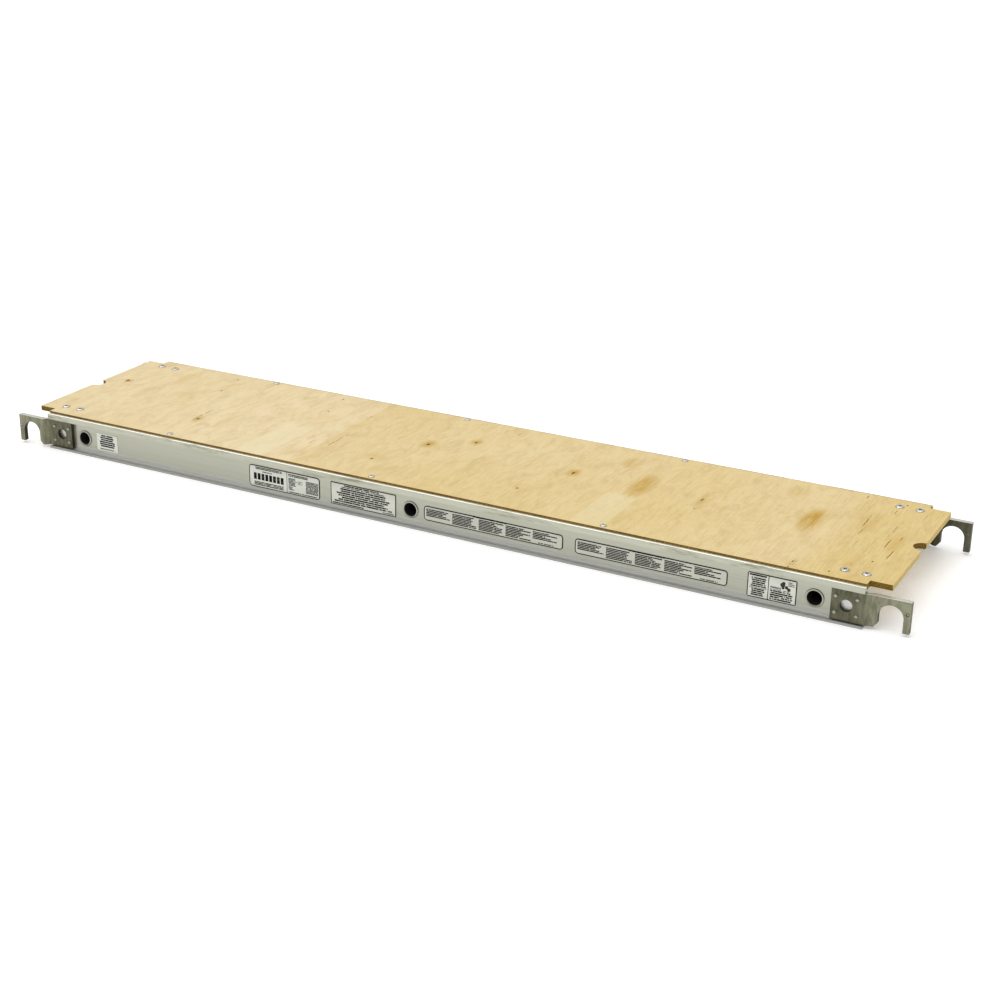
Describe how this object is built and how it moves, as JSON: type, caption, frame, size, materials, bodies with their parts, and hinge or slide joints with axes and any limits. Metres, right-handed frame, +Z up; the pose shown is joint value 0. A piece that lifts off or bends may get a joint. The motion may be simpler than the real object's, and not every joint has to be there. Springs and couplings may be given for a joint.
{
  "type": "scaffold plank",
  "caption": "Scaffold work platform: a plywood deck riveted on two aluminium channel side rails with hollow cross tubes and a rigid hook at each corner that hangs on a bearer tube.",
  "frame": {"origin": "middle of the plank in plan, level with the underside of the side rails, which it rests on", "axes": "+X along the plank, +Y across it, +Z up out of the deck's walking surface"},
  "size_m": [2.2098, 0.4906, 0.0958],
  "materials": {
    "plywood": "clear-sealed birch face, grain across the plank, dark end plies",
    "rail_aluminium": "mill-finish extrusion, drawn lines along the rail",
    "hook_aluminium": "darker mill-finish extrusion, lines running up the hook",
    "tube_aluminium": "mill-finish round tube",
    "bracket_aluminium": "plain sheet",
    "rivet_steel": "bright zinc-plated",
    "label_film": "pale printed film with plain grey bars"
  },
  "bodies": {
    "root": {"corner_bracket_far_left": "bracket_aluminium", "corner_bracket_far_right": "bracket_aluminium", "corner_bracket_near_left": "bracket_aluminium", "corner_bracket_near_right": "bracket_aluminium", "cross_tube_left": "tube_aluminium", "cross_tube_middle": "tube_aluminium", "cross_tube_right": "tube_aluminium", "deck_panel": "plywood", "deck_rivet_far_left_1": "rivet_steel", "deck_rivet_far_left_2": "rivet_steel", "deck_rivet_far_right_1": "rivet_steel", "deck_rivet_far_right_2": "rivet_steel", "deck_rivet_near_left_1": "rivet_steel", "deck_rivet_near_left_2": "rivet_steel", "deck_rivet_near_right_1": "rivet_steel", "deck_rivet_near_right_2": "rivet_steel", "edge_rivet_far_left": "rivet_steel", "edge_rivet_far_middle": "rivet_steel", "edge_rivet_far_right": "rivet_steel", "edge_rivet_near_left": "rivet_steel", "edge_rivet_near_middle": "rivet_steel", "edge_rivet_near_right": "rivet_steel", "hook_far_left": "hook_aluminium", "hook_far_right": "hook_aluminium", "hook_near_left": "hook_aluminium", "hook_near_right": "hook_aluminium", "hook_rivet_far_left_1": "rivet_steel", "hook_rivet_far_left_2": "rivet_steel", "hook_rivet_far_left_3": "rivet_steel", "hook_rivet_far_left_4": "rivet_steel", "hook_rivet_far_right_1": "rivet_steel", "hook_rivet_far_right_2": "rivet_steel", "hook_rivet_far_right_3": "rivet_steel", "hook_rivet_far_right_4": "rivet_steel", "hook_rivet_near_left_1": "rivet_steel", "hook_rivet_near_left_2": "rivet_steel", "hook_rivet_near_left_3": "rivet_steel", "hook_rivet_near_left_4": "rivet_steel", "hook_rivet_near_right_1": "rivet_steel", "hook_rivet_near_right_2": "rivet_steel", "hook_rivet_near_right_3": "rivet_steel", "hook_rivet_near_right_4": "rivet_steel", "label_left_end": "label_film", "label_long_left": "label_film", "label_long_right": "label_film", "label_notice": "label_film", "label_right_end": "label_film", "label_size": "label_film", "side_rail_far": "rail_aluminium", "side_rail_near": "rail_aluminium"}
  },
  "joints": []
}
